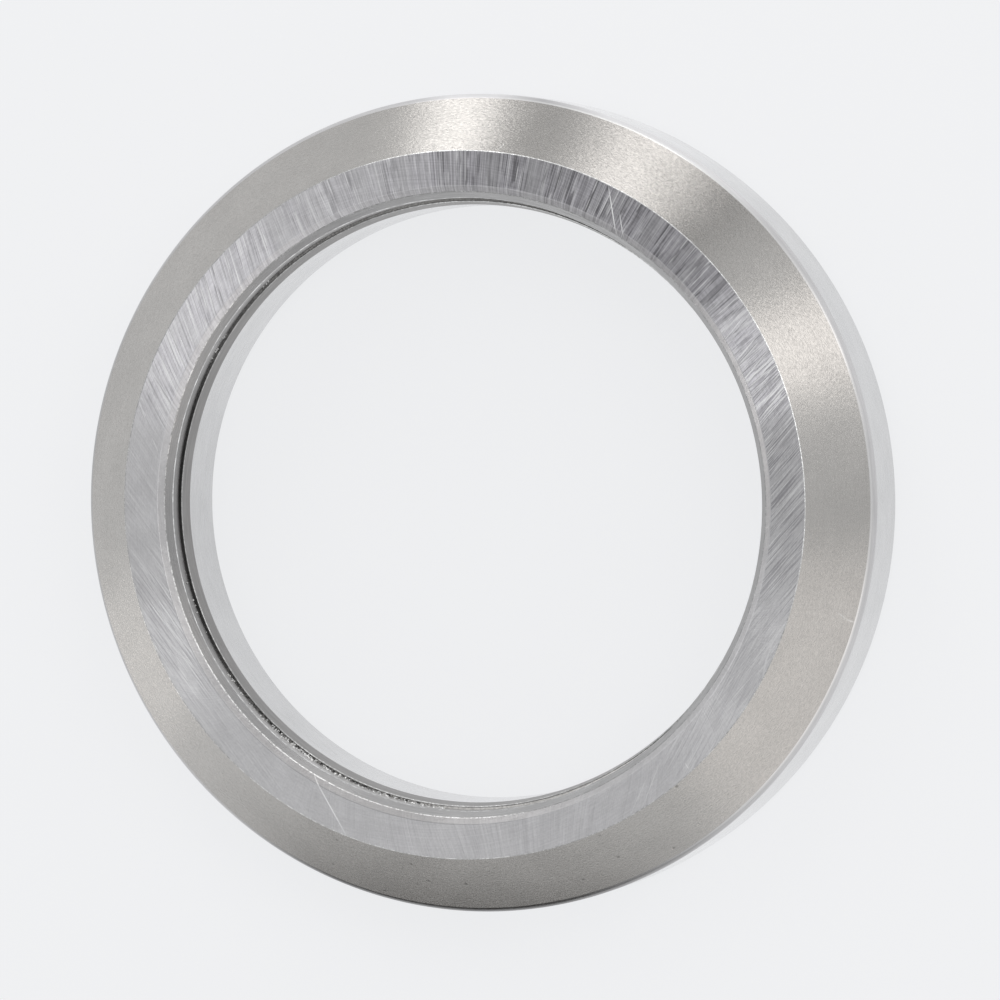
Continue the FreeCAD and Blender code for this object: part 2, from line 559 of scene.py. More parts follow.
        # Tints the base bluish where the dark streaks and dark sectors are.
        base = graph.blend(graph.math("MAXIMUM", dark, sunk), base, self.dark_zone_tint, "MULTIPLY")
        # Painted glints: bright marks turn whitish and less metallic, standing in for scratches catching
        # light.
        graph.feed(shader["Base Color"], graph.blend(marks, base, RUBBED_STEEL_AND_GLINT))
        graph.feed(shader["Metallic"], graph.math("MULTIPLY_ADD", marks, -0.55, 1.0))
        graph.feed(shader["Roughness"], graph.math("MULTIPLY_ADD", marks, -0.1, self.roughness))
        relief = graph.math("SUBTRACT", fine, graph.math("MULTIPLY", streaks, 1.5))
        graph.feed(shader["Normal"], graph.bump(relief, self.relief))
        spread = self.turned(graph, graph.vector("CROSS_PRODUCT", (0.0, 0.0, 1.0), place.level),
                             graph.math("MULTIPLY", lean, -1.0))
        world = graph.node("ShaderNodeVectorTransform", (graph.vector("NORMALIZE", spread),),
                           vector_type="VECTOR", convert_from="OBJECT", convert_to="WORLD")
        graph.feed(shader["Tangent"], world.outputs[0])

    def turned(self, graph: Graph, vector: object, angle: object) -> bpy.types.NodeSocket:
        """Returns a vector turned about the part's axis by an angle in radians."""
        values = {"Vector": vector, "Axis": (0.0, 0.0, 1.0), "Angle": angle}
        return graph.node("ShaderNodeVectorRotate", values, rotation_type="AXIS_ANGLE").outputs[0]


@dataclass(frozen=True)
class LappedCone(Finish):
    """The outer cone: a grain whose contrast is raised where the lamps light it, as painted sparkle, faint
    turned lines, small pits and a few rubs.
    """

    middle_radius: float = 19.4
    grain: float = 0.056
    grain_length: float = 3.4
    grain_height: float = 0.7
    relief: float = 0.0115
    pits: Stops = ((0, 0.0), (225, 0.0), (262, 1.0), (308, 0.8), (316, 0.0), (360, 0.0))
    # Painted sparkle: grain contrast by bearing, high where the cone reflects the lamps.
    painted_sparkle: Stops = ((0, 0.15), (14, 0.5), (22, 1.0), (34, 1.0), (42, 0.2), (50, 0.2), (56, 0.75),
                      (66, 0.75), (76, 0.6), (86, 1.0), (94, 1.0), (101, 0.2), (112, 0.0), (360, 0.0))
    rubs: tuple[Scratch, ...] = (
        Scratch((19.95, -5.85), (19.45, -5.6), 0.09, 0.35),
        Scratch((19.5, -5.6), (19.2, -5.3), 0.07, 0.35),
        Scratch((12.2, 13.2), (11.9, 13.45), 0.07, 0.7),
        Scratch((2.24, 18.28), (2.0, 18.0), 0.06, 0.6))

    def pattern(self, graph: Graph, place: Place, shader: bpy.types.NodeInputs) -> None:
        """Adds the grain, the turned lines, the pits and the rubs.

        Args:
            graph: the material's graph.
            place: where the shaded point is.
            shader: the inputs of the Principled shader.
        """
        grains_round = self.middle_radius / (self.grain * self.grain_length)
        spoke = graph.scaled(graph.vector("NORMALIZE", place.level), grains_round)
        rows = graph.math("DIVIDE", place.height, self.grain * MM * self.grain_height)
        rise = graph.node("ShaderNodeCombineXYZ", (0.0, 0.0, rows))
        grain = graph.noise(graph.vector("ADD", spoke, rise.outputs[0]), 1.0, 3.0, 0.7)
        turned = graph.vector("ADD", graph.scaled(spoke, 0.035), graph.scaled(rise.outputs[0], 1.3))
        lines = graph.noise(turned, 1.0, 2.0, 0.6)
        cloud = graph.noise(place.point, 420.0, 3.0)
        cell = graph.node("ShaderNodeTexVoronoi", {"Vector": place.point, "Scale": 1500.0})
        chance = graph.node("ShaderNodeSeparateColor", (cell.outputs["Color"],)).outputs[0]
        limit = graph.math("MULTIPLY_ADD", graph.round_ring(place.bearing, self.pits), -0.2, 1.0)
        chosen = graph.math("GREATER_THAN", chance, limit)
        pit = graph.math("MULTIPLY", graph.between(cell.outputs["Distance"], 0.07, 0.2, 1.0, 0.0), chosen)
        rubbed = self.rubs[0].mask(graph, place)
        for rub in self.rubs[1:]:
            rubbed = graph.math("MAXIMUM", rubbed, rub.mask(graph, place))
        # Painted sparkle: the grain's colour contrast rises in the lit patches round the ring.
        strength = graph.math("MULTIPLY_ADD", graph.round_ring(place.bearing, self.painted_sparkle), 0.1, 0.05)
        shade = graph.math("MULTIPLY_ADD", graph.between(grain, 0.34, 0.66, -1.0, 1.0), strength, 1.0)
        shade = graph.math("MULTIPLY", shade, graph.between(lines, 0.3, 0.7, 0.975, 1.02))
        shade = graph.math("MULTIPLY", shade, graph.between(cloud, 0.3, 0.7, 0.97, 1.03))
        shade = graph.math("MULTIPLY", shade, graph.math("MULTIPLY_ADD", pit, -0.35, 1.0))
        base = self.shaded(graph, place, shade)
        graph.feed(shader["Base Color"], graph.blend(rubbed, base, (0.85, 0.85, 0.84)))
        dull, keen = self.roughness + 0.04, self.roughness - 0.04
        graph.feed(shader["Roughness"], graph.between(grain, 0.3, 0.7, dull, keen))
        relief = graph.math("ADD", grain, graph.math("MULTIPLY", lines, 0.25))
        relief = graph.math("SUBTRACT", relief, graph.math("MULTIPLY", pit, 1.2))
        graph.feed(shader["Normal"], graph.bump(relief, self.relief))


@dataclass(frozen=True)
class TurnedSteel(Finish):
    """A turned or ground wall: fine lines round the axis over a soft cloud, and a painted highlight line or
    none.
    """

    pitch: float = 0.06
    depth: float = 0.0015
    contrast: float = 0.05
    painted_highlight_line: tuple[float, float] = (0.0, 0.0)
    highlight_level: Stops = ()

    def pattern(self, graph: Graph, place: Place, shader: bpy.types.NodeInputs) -> None:
        """Adds the turned lines and the painted highlight line, which lies between two heights in
        millimetres.

        Args:
            graph: the material's graph.
            place: where the shaded point is.
            shader: the inputs of the Principled shader.
        """
        step = self.pitch * MM
        run = graph.node("ShaderNodeCombineXYZ", (graph.math("DIVIDE", place.radius, step), 0.0,
                                                  graph.math("DIVIDE", place.height, step)))
        drift = graph.scaled(graph.vector("NORMALIZE", place.level), 9.0)
        lines = graph.noise(graph.vector("ADD", run.outputs[0], drift), 1.0, 2.0, 0.6)
        cloud = graph.noise(place.point, 500.0, 3.0)
        shade = graph.between(lines, 0.3, 0.7, 1.0 - self.contrast, 1.0 + self.contrast)
        shade = graph.math("MULTIPLY", shade, graph.between(cloud, 0.3, 0.7, 0.975, 1.02))
        base = self.shaded(graph, place, shade)
        low, high = (height * MM for height in self.painted_highlight_line)
        # Painted highlight: a pale band blended into the colour between the two heights, strength by bearing.
        if high > low:
            risen = graph.between(place.height, low - 0.03 * MM, low)
            passed = graph.between(place.height, high, high + 0.03 * MM, 1.0, 0.0)
            highlight = graph.math("MULTIPLY", risen, passed)
            highlight = graph.math("MULTIPLY", highlight, graph.round_ring(place.bearing, self.highlight_level))
            base = graph.blend(highlight, base, (0.88, 0.88, 0.87))
        graph.feed(shader["Base Color"], base)
        dull, keen = self.roughness + 0.05, self.roughness - 0.03
        graph.feed(shader["Roughness"], graph.between(lines, 0.3, 0.7, dull, keen))
        graph.feed(shader["Normal"], graph.bump(lines, self.depth))


@dataclass(frozen=True)
class NickedEdge(Finish):
    """A broken edge: bright where it is rubbed, with small nicks, and with painted glints where it has them.
    """

    nick: float = 0.12
    relief: float = 0.012
    painted_glints: Stops = ((0, 0.0), (360, 0.0))

    def pattern(self, graph: Graph, place: Place, shader: bpy.types.NodeInputs) -> None:
        """Adds the rubs and nicks.

        Args:
            graph: the material's graph.
            place: where the shaded point is.
            shader: the inputs of the Principled shader.
        """
        nicks = graph.noise(place.point, 1.0 / (self.nick * MM), 2.0, 0.6)
        rubs = graph.noise(place.point, 900.0, 2.0)
        shade = graph.math("MULTIPLY", graph.between(nicks, 0.42, 0.62, 0.74, 1.12),
                           graph.between(rubs, 0.35, 0.65, 0.85, 1.0))
        # Painted glints: spots turned whitish and less metallic, standing in for the edge catching light.
        level = graph.round_ring(place.bearing, self.painted_glints)
        painted_glint = graph.math("MULTIPLY", graph.between(nicks, 0.43, 0.54), level)
        base = self.shaded(graph, place, shade)
        graph.feed(shader["Base Color"], graph.blend(painted_glint, base, (0.97, 0.97, 0.96)))
        graph.feed(shader["Metallic"], graph.math("MULTIPLY_ADD", painted_glint, -0.8, 1.0))
        dull, keen = self.roughness + 0.12, self.roughness - 0.05
        graph.feed(shader["Roughness"], graph.between(nicks, 0.3, 0.7, dull, keen))
        graph.feed(shader["Normal"], graph.bump(nicks, self.relief))


@dataclass(frozen=True)
class PackedDustAndShade(Finish):
    """Grinding dust in old grease, matt and mottled where it is thick; its tone round the ring also paints
    shade, near black where the gap lies in shadow.
    """

    grain: float = 0.12
    relief: float = 0.01
    mottle: Stops = ((0, 0.2), (360, 0.2))

    def pattern(self, graph: Graph, place: Place, shader: bpy.types.NodeInputs) -> None:
        """Adds the mottle.

        Args:
            graph: the material's graph.
            place: where the shaded point is.
            shader: the inputs of the Principled shader.
        """
        grains = graph.noise(place.point, 1.0 / (self.grain * MM), 3.0, 0.65)
        strength = graph.round_ring(place.bearing, self.mottle)
        shade = graph.math("MULTIPLY_ADD", graph.between(grains, 0.38, 0.62, -1.0, 1.0), strength, 1.0)
        graph.feed(shader["Base Color"], self.shaded(graph, place, shade))
        graph.feed(shader["Normal"], graph.bump(grains, self.relief))


@dataclass(frozen=True)
class MouldedNylon(Finish):
    """The cage's plastic: matt, with flow marks and a fine mould grain."""

    def pattern(self, graph: Graph, place: Place, shader: bpy.types.NodeInputs) -> None:
        """Adds the flow marks and the grain.

        Args:
            graph: the material's graph.
            place: where the shaded point is.
            shader: the inputs of the Principled shader.
        """
        flow = graph.noise(place.point, 300.0, 3.0)
        grain = graph.noise(place.point, 9000.0, 2.0)
        tint = tuple(0.82 * part for part in self.colour)
        graph.feed(shader["Base Color"], graph.blend(graph.between(flow, 0.3, 0.7), self.colour, tint))
        keen, dull = self.roughness - 0.06, self.roughness + 0.08
        graph.feed(shader["Roughness"], graph.between(grain, 0.3, 0.7, keen, dull))
        graph.feed(shader["Normal"], graph.bump(grain, 0.003))


@dataclass(frozen=True)
class PolishedBall(Finish):
    """A bearing ball: mirror bright, with a thin uneven film of oil."""

    def pattern(self, graph: Graph, place: Place, shader: bpy.types.NodeInputs) -> None:
        """Adds the film.

        Args:
            graph: the material's graph.
            place: where the shaded point is.
            shader: the inputs of the Principled shader.
        """
        film = graph.noise(place.point, 1400.0, 3.0)
        tint = tuple(0.9 * part for part in self.colour)
        graph.feed(shader["Base Color"], graph.blend(graph.between(film, 0.4, 0.65), self.colour, tint))
        graph.feed(shader["Roughness"], graph.between(film, 0.35, 0.65, self.roughness, self.roughness + 0.1))


@dataclass(frozen=True)
class PaleFloor:
    """The plain pale floor, which keeps a soft shadow."""

    colour: Colour = (0.8, 0.8, 0.81)
    shown: Colour = (0.922, 0.93, 0.945)
    share: float = 0.8

    def material(self) -> bpy.types.Material:
        """Builds the floor's material.

        Returns:
            The material.
        """
        made = bpy.data.materials.new("pale_floor")
        made.use_nodes = True
        graph = Graph(made.node_tree)
        made.node_tree.nodes.remove(made.node_tree.nodes["Principled BSDF"])
        path = graph.node("ShaderNodeLightPath").outputs
        seen = graph.math("MAXIMUM", path["Is Camera Ray"], path["Is Glossy Ray"])
        seen = graph.math("MAXIMUM", seen, path["Is Transmission Ray"])
        matt = graph.node("ShaderNodeBsdfDiffuse", ((*self.colour, 1.0),)).outputs[0]
        glow = graph.node("ShaderNodeEmission", ((*self.shown, 1.0), 1.0)).outputs[0]
        both = graph.node("ShaderNodeMixShader", (graph.math("MULTIPLY", seen, self.share), matt, glow))
        graph.feed(made.node_tree.nodes["Material Output"].inputs[0], both.outputs[0])
        return made


# Each finish's tone stops below are painted light and shade: lit and dark stretches of the walls' reflections
# held in their colour.
FINISHES: dict[Wall, Finish] = {
    Wall.FRONT_FLAT: GroundFlat("ground_front_flat", (0.79, 0.782, 0.785), 0.34, anisotropy=0.8),
    Wall.CONE: LappedCone(
        "lapped_cone", (0.54, 0.524, 0.502), 0.262, anisotropy=0.8, turn=0.25,
        painted_light_and_shade=((0, 0.915), (14, 0.98), (20, 1.0), (34, 1.0), (42, 0.94), (50, 0.91), (56, 1.0), (66, 1.0),
              (74, 0.91), (84, 0.89), (90, 1.0), (95, 0.98), (101, 0.89), (108, 0.92), (120, 0.96),
              (160, 0.96), (180, 0.94), (200, 0.975), (215, 0.96), (240, 0.98), (300, 0.98), (320, 0.97),
              (340, 0.93), (360, 0.915))),
    Wall.CYLINDER: TurnedSteel(
        "ground_cylinder", (0.9, 0.9, 0.9), 0.24, anisotropy=0.6, turn=0.25, contrast=0.02,
        painted_light_and_shade=((0, 0.75), (20, 0.775), (45, 0.81), (60, 0.95), (80, 1.0), (100, 1.0), (260, 0.85),
              (285, 0.96), (303, 1.0), (320, 0.9), (340, 0.83), (360, 0.75))),
    Wall.LIP: TurnedSteel(
        "turned_lip", (0.6, 0.593, 0.587), 0.48, pitch=0.05, depth=0.001, contrast=0.12,
        painted_light_and_shade=((0, 0.77), (150, 0.77), (162, 0.6), (206, 0.6), (217, 0.77), (226, 0.98), (262, 0.98),
              (272, 0.77), (360, 0.77))),
    Wall.LIP_EDGE: NickedEdge(
        "nicked_lip_edge", (0.9, 0.9, 0.89), 0.3, nick=0.3,
        painted_light_and_shade=((0, 0.62), (80, 0.66), (100, 0.95), (165, 1.0), (240, 0.9), (262, 0.7), (360, 0.62))),
    Wall.BEVEL_EDGE: NickedEdge(
        "nicked_bevel_edge", (0.9, 0.9, 0.89), 0.3, nick=0.16,
        # Painted glints along the edge between bevel and chamfer.
        painted_glints=((0, 0.0), (138, 0.0), (144, 0.4), (156, 0.4), (164, 0.0), (182, 0.2), (196, 0.8),
                (206, 0.8), (212, 1.0), (244, 1.0), (275, 0.7), (284, 0.0), (360, 0.0)),
        painted_light_and_shade=((0, 0.55), (130, 0.66), (142, 0.8), (158, 0.75), (168, 0.66), (188, 0.72), (198, 0.9),
              (276, 0.9), (286, 0.66), (360, 0.55))),
    Wall.EDGE: NickedEdge(
        "nicked_edge", (0.9, 0.9, 0.89), 0.26,
        painted_light_and_shade=((0, 1.0), (100, 1.0), (112, 0.72), (226, 0.74), (234, 1.0), (276, 1.0), (285, 0.74),
              (340, 0.76), (352, 1.0), (360, 1.0))),
    Wall.RACE: TurnedSteel("lapped_race", (0.6, 0.6, 0.6), 0.16, anisotropy=0.5, turn=0.25,
                           pitch=0.04, depth=0.0006, contrast=0.03),
    Wall.REAR: TurnedSteel("turned_rear", (0.62, 0.62, 0.615), 0.3, anisotropy=0.7, turn=0.25,
                           pitch=0.07, depth=0.002, contrast=0.07),
    Wall.ROUNDING: TurnedSteel(
        "turned_rounding", (0.86, 0.85, 0.85), 0.3, pitch=0.08, depth=0.001, contrast=0.06,
        painted_light_and_shade=((0, 0.63), (20, 0.75), (42, 0.73), (54, 1.0), (70, 1.0), (80, 0.6), (87, 1.0), (94, 1.0),
              (100, 0.74), (112, 0.73), (130, 0.65), (160, 0.53), (180, 0.49), (190, 0.54), (210, 0.61),
              (222, 0.64), (231, 0.68), (240, 0.48), (248, 0.3), (283, 0.28), (303, 0.52), (320, 0.7),
              (342, 0.73), (360, 0.63)),
        # Painted highlight: the light line where the cone meets the rounding.
        painted_highlight_line=(5.21, 5.27),
        highlight_level=((0, 0.38), (40, 0.4), (52, 0.9), (70, 0.9), (84, 0.3), (95, 0.0), (275, 0.0), (300, 0.3),
                    (360, 0.38))),
    Wall.BEVEL: GroundFlat(
        "ground_bevel", (0.8, 0.792, 0.795), 0.4, anisotropy=0.5,
        dark=((0, 0.1), (36, 0.15), (52, 0.5), (96, 0.5), (120, 0.4), (160, 0.3), (172, 0.05), (360, 0.1)),
        bright=((0, 0.05), (60, 0.2), (126, 0.5), (160, 0.45), (170, 0.05), (360, 0.05)),
        hatches=(), swirls=(),
        painted_light_and_shade=((0, 0.69), (13, 0.74), (21, 0.85), (31, 0.79), (45, 0.61), (70, 0.66), (90, 0.73),
              (112, 0.88), (160, 0.92), (180, 0.68), (200, 0.64), (225, 0.55), (262, 0.46), (300, 0.76),
              (335, 1.0), (350, 0.84), (360, 0.69))),
    Wall.LEAD_IN: TurnedSteel(
        "turned_lead_in", (0.345, 0.338, 0.332), 0.4, pitch=0.06, depth=0.001, contrast=0.08,
        painted_light_and_shade=((0, 1.0), (95, 0.97), (130, 0.93), (160, 0.87), (212, 0.88), (228, 0.94), (242, 1.0),
              (360, 1.0))),
    Wall.BORE: TurnedSteel(
        "ground_bore", (0.83, 0.83, 0.832), 0.24, anisotropy=0.6, turn=0.25, contrast=0.02,
        painted_light_and_shade=((0, 0.92), (90, 1.0), (110, 1.0), (130, 0.94), (150, 0.88), (170, 0.79), (190, 0.755),
              (210, 0.82), (230, 0.83), (250, 0.95), (270, 1.0), (360, 0.92))),
    Wall.CHAMFER: TurnedSteel(
        "turned_chamfer", (0.72, 0.715, 0.712), 0.3, pitch=0.06, depth=0.001, contrast=0.1,
        painted_light_and_shade=((0, 0.5), (45, 0.62), (90, 0.66), (135, 0.61), (172, 0.62), (188, 0.6), (205, 0.54),
              (214, 0.66), (225, 0.77), (262, 0.76), (300, 0.65), (330, 0.59), (360, 0.5))),
    # Dust in the gap's mouth; its tone stops are painted shade, near black where the gap is in shadow.
    Wall.DUST_AND_SHADE: PackedDustAndShade(
        "packed_dust_and_shade", (1.0, 0.98, 0.95), 0.85, 0.0,
        mottle=((0, 0.15), (95, 0.2), (130, 0.35), (160, 0.35), (212, 0.4), (222, 0.8), (232, 0.95),
                (258, 0.9), (266, 0.15), (360, 0.15)),
        painted_light_and_shade=((0, 0.5), (60, 0.24), (75, 0.26), (88, 0.29), (100, 0.38), (110, 0.31), (122, 0.27),
              (132, 0.19), (142, 0.118), (150, 0.115), (156, 0.055), (162, 0.03), (170, 0.012), (178, 0.01),
              (186, 0.02), (200, 0.02), (207, 0.035), (213, 0.06), (221, 0.09), (228, 0.08), (234, 0.12),
              (240, 0.17), (251, 0.17), (258, 0.26), (266, 0.58), (274, 0.72), (288, 0.64), (300, 1.0),
              (360, 0.5))),
}


@dataclass(frozen=True)
class Corner:
    """A corner of a ring's section in millimetres, and the finish of the wall that follows it."""

    radius: float
    height: float
    wall: Wall
    rounding: float = 0.03
    skin: Wall = Wall.EDGE


@dataclass
class Section:
    """A closed section, anticlockwise as seen with the axis at the left, with its corners rounded.

    A rounding takes up to round_share of the shorter side, and a hold point beside it keeps each wall
    flat. Large roundings have finer steps than small ones, in degrees.
    """

    corners: list[Corner] = field(default_factory=list)
    straight: float = 3.0
    round_share: float = 0.35
    hold_share: float = 0.08
    hold_limit: float = 0.4
    large_rounding: float = 0.2
    large_step: float = 5.0
    small_step: float = 18.0

    def arc(self, centre: tuple[float, float], radius: float, start: float, end: float, wall: Wall,
            count: int = 14) -> None:
        """Adds corners along an arc.

        Args:
            centre: the arc's centre.
            radius: its radius.
            start: its first angle in degrees.
            end: its last angle.
            wall: the finish.
            count: how many pieces it has.
        """
        for step in range(count + 1):
            turn = math.radians(start + (end - start) * step / count)
            across, up = centre[0] + radius * math.cos(turn), centre[1] + radius * math.sin(turn)
            self.corners.append(Corner(across, up, wall, 0.0))

    def outline(self) -> list[tuple[Vector, Wall]]:
        """Rounds the corners.

        Returns:
            The outline's points, each with the finish of the edge that follows it.
        """
        made: list[tuple[Vector, Wall]] = []
        for index, corner in enumerate(self.corners):
            before, after = self.corners[index - 1], self.corners[(index + 1) % len(self.corners)]
            here = Vector((corner.radius, corner.height))
            back = Vector((before.radius, before.height)) - here
            ahead = Vector((after.radius, after.height)) - here
            turn = math.pi - back.angle(ahead)
            if corner.rounding <= 0 or turn < math.radians(self.straight):
                made.append((here, corner.wall))
                continue
            shorter = min(back.length, ahead.length)
            reach = min(corner.rounding * math.tan(turn / 2), self.round_share * shorter)
            radius = reach / math.tan(turn / 2)
            hold = self.hold_share * min(shorter, self.hold_limit)
            back.normalize()
            ahead.normalize()
            centre = here + (back + ahead).normalized() * radius / math.cos(turn / 2)
            first, last = here + back * reach - centre, here + ahead * reach - centre
            each = self.large_step if corner.rounding > self.large_rounding else self.small_step
            count = max(3, round(math.degrees(turn) / each))
            made.append((here + back * (reach + hold), before.wall))
            for step in range(count + 1):
                share = step / count
                spoke = first * math.sin((1 - share) * turn) + last * math.sin(share * turn)
                made.append((centre + spoke / math.sin(turn), corner.skin if step < count else corner.wall))
            made.append((here + ahead * (reach + hold), corner.wall))
        return made


class Lathe:
    """A Geometry Nodes tree that turns a section round the axis and gives each wall its finish."""

    def __init__(self) -> None:
        """Builds the tree."""
        self.tree = bpy.data.node_groups.new("lathe", "GeometryNodeTree")
        self.graph = Graph(self.tree)
        face = self.tree.interface
        face.new_socket("Section", in_out="INPUT", socket_type="NodeSocketGeometry")
        face.new_socket("Steps round", in_out="INPUT", socket_type="NodeSocketInt")
        face.new_socket("Weld distance", in_out="INPUT", socket_type="NodeSocketFloat")
        for wall in Wall:
            face.new_socket(wall.name, in_out="INPUT", socket_type="NodeSocketMaterial")
        face.new_socket("Ring", in_out="OUTPUT", socket_type="NodeSocketGeometry")
        self.build()

    def sampled(self, section: object, value: object, kind: str, index: object) -> bpy.types.NodeSocket:
        """Returns a value of the section's point with this index."""
        made = self.graph.node("GeometryNodeSampleIndex", data_type=kind, domain="POINT")
        self.graph.feed(made.inputs["Geometry"], section)
        self.graph.feed(self.open_value(made), value)
        self.graph.feed(made.inputs["Index"], index)
        return next(socket for socket in made.outputs if socket.enabled)

    def open_value(self, node: bpy.types.Node) -> bpy.types.NodeSocket:
        """Returns the Value input that the node's data type opens."""
        return next(socket for socket in node.inputs if socket.name == "Value" and socket.enabled)

    def build(self) -> None:
        """Adds the nodes: a grid bent into the ring, welded, then dressed wall by wall."""
        graph = self.graph
        given = graph.node("NodeGroupInput").outputs
        size = graph.node("GeometryNodeAttributeDomainSize", (given["Section"],), component="MESH")
        count = size.outputs["Point Count"]
        rows = graph.math("ADD", count, 1.0)
        steps = graph.math("ADD", given["Steps round"], 1.0)
        grid = graph.node("GeometryNodeMeshGrid", {"Size X": 1.0, "Size Y": 1.0, "Vertices X": steps,
                                                   "Vertices Y": rows})
        index = graph.node("GeometryNodeInputIndex").outputs[0]
        column = graph.math("FLOOR", graph.math("DIVIDE", graph.math("ADD", index, 0.5), rows))
        row = graph.math("SUBTRACT", index, graph.math("MULTIPLY", column, rows))
        row = graph.math("MODULO", row, count)
        place = graph.node("GeometryNodeInputPosition").outputs[0]
        spot = self.sampled(given["Section"], place, "FLOAT_VECTOR", row)
        parts = graph.node("ShaderNodeSeparateXYZ", (spot,)).outputs
        turn = graph.math("MULTIPLY", graph.math("DIVIDE", column, given["Steps round"]), math.tau)
        east = graph.math("MULTIPLY", parts[0], graph.math("COSINE", turn))
        north = graph.math("MULTIPLY", parts[0], graph.math("SINE", turn))
        bent = graph.node("ShaderNodeCombineXYZ", (east, north, parts[2])).outputs[0]
        face_row = graph.math("MODULO", index, count)
        named = graph.node("GeometryNodeInputNamedAttribute", {"Name": "wall"}, data_type="INT").outputs[0]
        wall = self.sampled(given["Section"], named, "INT", face_row)
        mesh = self.stored(grid.outputs["Mesh"], "UVMap", "FLOAT2", "CORNER", grid.outputs["UV Map"])
        mesh = self.stored(mesh, "wall", "INT", "FACE", wall)
        mesh = graph.node("GeometryNodeSetPosition", {"Geometry": mesh, "Position": bent}).outputs[0]
        values = {"Geometry": mesh, "Distance": given["Weld distance"]}
        mesh = graph.node("GeometryNodeMergeByDistance", values).outputs[0]
        mesh = graph.node("GeometryNodeSetShadeSmooth", {0: mesh, "Shade Smooth": True}).outputs[0]
        mesh = graph.node("GeometryNodeRealizeInstances", {0: mesh}).outputs[0]
        kept = graph.node("GeometryNodeInputNamedAttribute", {"Name": "wall"}, data_type="INT").outputs[0]
        for one in Wall:
            chosen = graph.node("FunctionNodeCompare", data_type="INT", operation="EQUAL")
            sockets = [socket for socket in chosen.inputs if socket.enabled]
            graph.feed(sockets[0], kept)
            graph.feed(sockets[1], one.value)
            values = {"Geometry": mesh, "Selection": chosen.outputs[0], "Material": given[one.name]}
            mesh = graph.node("GeometryNodeSetMaterial", values).outputs[0]
        graph.feed(graph.node("NodeGroupOutput").inputs[0], mesh)

    def stored(self, mesh: object, name: str, kind: str, domain: str, value: object) -> bpy.types.NodeSocket:
        """Returns the mesh with a named attribute added."""
        made = self.graph.node("GeometryNodeStoreNamedAttribute", {"Geometry": mesh, "Name": name},
                               data_type=kind, domain=domain)
        self.graph.feed(self.open_value(made), value)
        return made.outputs[0]

    def turn(self, name: str, section: Section, steps: int) -> bpy.types.Object:
        """Turns a section into a finished ring.

        Args:
            name: the piece's name.
            section: its section.
            steps: how many faces it has round the axis.

        Returns:
            The ring, a plain mesh at the origin.
        """
        outline = section.outline()
        mesh = bpy.data.meshes.new(name + "_section")
        loop = [(index, (index + 1) % len(outline)) for index in range(len(outline))]
        mesh.from_pydata([(spot.x * MM, 0.0, spot.y * MM) for spot, _ in outline], loop, [])
        attribute = mesh.attributes.new("wall", "INT", "POINT")
        attribute.data.foreach_set("value", [wall.value for _, wall in outline])
        holder = bpy.data.objects.new(name + "_section", mesh)
        bpy.context.scene.collection.objects.link(holder)
        modifier = holder.modifiers.new("lathe", "NODES")
        modifier.node_group = self.tree
        values: dict[str, object] = {"Steps round": steps, "Weld distance": 5e-7}
        values.update({wall.name: FINISHES[wall].material() for wall in Wall})
        return plain_mesh(holder, modifier, values, name)


def plain_mesh(holder: bpy.types.Object, modifier: bpy.types.Modifier, values: dict[str, object],
               name: str) -> bpy.types.Object:
    """Sets a Geometry Nodes modifier's inputs and turns its result into a plain mesh.

    Args:
        holder: the object that carries the modifier.
        modifier: the modifier.
        values: its inputs by socket name.
        name: the new piece's name.

    Returns:
        The new piece.
    """
    for item in modifier.node_group.interface.items_tree:
        if item.in_out == "INPUT" and item.name in values:
            modifier[item.identifier] = values[item.name]
    bpy.context.view_layer.update()
    seen = holder.evaluated_get(bpy.context.evaluated_depsgraph_get())
    mesh = bpy.data.meshes.new_from_object(seen)
    mesh.name = name
    holder.modifiers.remove(modifier)
    bpy.data.objects.remove(holder)
    made = bpy.data.objects.new(name, mesh)
    bpy.context.scene.collection.objects.link(made)
    return made


